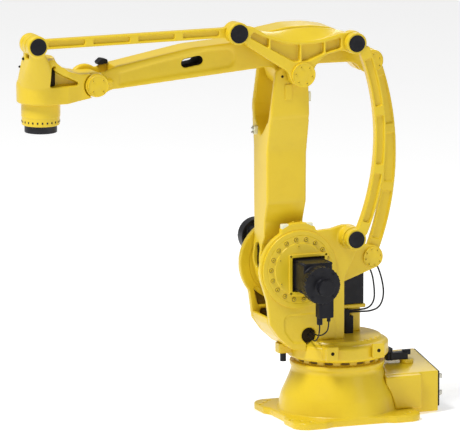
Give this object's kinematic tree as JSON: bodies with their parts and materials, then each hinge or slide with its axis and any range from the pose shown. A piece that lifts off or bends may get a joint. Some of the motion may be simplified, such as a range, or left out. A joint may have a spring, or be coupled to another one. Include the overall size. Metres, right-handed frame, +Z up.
{
  "type": "palletising robot arm",
  "caption": "Floor-mounted palletising robot arm: turning column, tilting lower arm, bowed parallel links, level rod and a level wrist with a turning tool flange.",
  "frame": {"origin": "centre of the base's bottom face, on the turning column's axis", "axes": "+Z up along the turning column's axis, +X the way the arm points at rest, +Y towards the side of the level linkage"},
  "size_m": [2.765, 0.905, 2.547],
  "materials": {
    "paint": "satin yellow paint",
    "black_metal": "satin black paint",
    "black_plastic": "matt black moulded caps",
    "steel": "ground steel",
    "cable": "black cable sheath",
    "flange": "blackened steel"
  },
  "bodies": {
    "base": {"base_casting": "paint", "base_ring": "paint", "connector_box": "paint", "connector_panel": "black_metal", "panel_plugs": "steel", "bracket_boss": "paint", "stop_bracket": "black_metal"},
    "swivel": {"turntable": "paint", "near_frame": "paint", "far_frame": "paint", "frame_web": "paint", "skirt_pads": "paint", "near_drive_disc": "paint", "far_drive_disc": "paint", "near_motor": "black_metal", "near_motor_plug": "black_plastic", "far_motor": "black_metal", "shoulder_shaft": "steel", "column_motor": "black_metal", "motor_stand": "paint", "lead_post": "black_plastic", "lead_clamp": "paint", "thick_lead": "cable", "thin_lead": "cable", "inner_lead": "cable", "outer_lead": "cable", "stop_pin": "black_metal", "stop_pin_holder": "paint", "level_low_pin": "steel"},
    "lower_arm": {"lower_arm": "paint", "elbow_shaft": "steel"},
    "elbow_plate": {"elbow_plate": "paint", "elbow_cap": "paint", "rod_rear_cap": "black_plastic", "rod_rear_pin": "steel", "level_high_pin": "steel"},
    "level_link": {"level_link": "paint", "level_low_cap": "black_plastic", "level_high_cap": "black_plastic"},
    "drive_link": {"drive_link": "paint"},
    "level_rod": {"level_rod": "paint"},
    "crank": {"crank": "paint"},
    "crank_pin": {"crank_pin": "steel", "crank_pin_cap": "paint"},
    "upper_arm": {"upper_arm": "paint", "beam_fitting": "black_plastic", "tail_cap": "paint", "tail_pin": "steel", "wrist_pivot_cap": "paint", "wrist_pivot_pin": "steel"},
    "wrist": {"wrist_housing": "paint", "rod_front_cap": "black_plastic", "rod_front_pin": "steel", "wrist_neck": "paint"},
    "tool_flange": {"tool_flange": "flange"}
  },
  "joints": [
    {"name": "column_turn", "type": "hinge", "parent": "base", "child": "swivel", "pos_m": [0, 0, 0.4], "axis": [0, 0, 1], "range_deg": [-170, 170]},
    {"name": "shoulder_tilt", "type": "hinge", "parent": "swivel", "child": "lower_arm", "pos_m": [0.323, 0, 0.97], "axis": [0, 1, 0], "range_deg": [-15, 50]},
    {"name": "elbow_level", "type": "hinge", "parent": "lower_arm", "child": "elbow_plate", "pos_m": [0.323, 0, 2.197], "axis": [0, 1, 0], "range_deg": [-50, 15]},
    {"name": "level_link_turn", "type": "hinge", "parent": "swivel", "child": "level_link", "pos_m": [-0.011, 0, 1.152], "axis": [0, 1, 0], "range_deg": [-15, 50]},
    {"name": "upper_arm_lift", "type": "hinge", "parent": "elbow_plate", "child": "upper_arm", "pos_m": [0.323, 0, 2.197], "axis": [0, -1, 0], "range_deg": [-27, 18]},
    {"name": "level_rod_turn", "type": "hinge", "parent": "elbow_plate", "child": "level_rod", "pos_m": [0.746, 0, 2.477], "axis": [0, -1, 0], "range_deg": [-27, 18]},
    {"name": "wrist_level", "type": "hinge", "parent": "upper_arm", "child": "wrist", "pos_m": [1.636, 0, 2.197], "axis": [0, -1, 0], "range_deg": [-18, 27]},
    {"name": "crank_turn", "type": "hinge", "parent": "swivel", "child": "crank", "pos_m": [0.323, 0, 0.97], "axis": [0, -1, 0], "range_deg": [-27, 18]},
    {"name": "crank_pin_turn", "type": "hinge", "parent": "crank", "child": "crank_pin", "pos_m": [-0.193, 0, 0.999], "axis": [0, -1, 0], "range_deg": [-18, 27]},
    {"name": "drive_link_turn", "type": "hinge", "parent": "crank_pin", "child": "drive_link", "pos_m": [-0.193, 0, 0.999], "axis": [0, 1, 0], "range_deg": [-15, 50]},
    {"name": "tool_turn", "type": "hinge", "parent": "wrist", "child": "tool_flange", "pos_m": [1.959, 0, 1.958], "axis": [0, 0, 1], "range_deg": [-360, 360]}
  ],
  "couplings": [
    {"joint": "elbow_level", "follows": "shoulder_tilt", "ratio": -1},
    {"joint": "level_link_turn", "follows": "shoulder_tilt", "ratio": 1},
    {"joint": "drive_link_turn", "follows": "shoulder_tilt", "ratio": 1},
    {"joint": "level_rod_turn", "follows": "upper_arm_lift", "ratio": 1},
    {"joint": "wrist_level", "follows": "upper_arm_lift", "ratio": -1},
    {"joint": "crank_turn", "follows": "upper_arm_lift", "ratio": 1},
    {"joint": "crank_pin_turn", "follows": "upper_arm_lift", "ratio": -1}
  ]
}
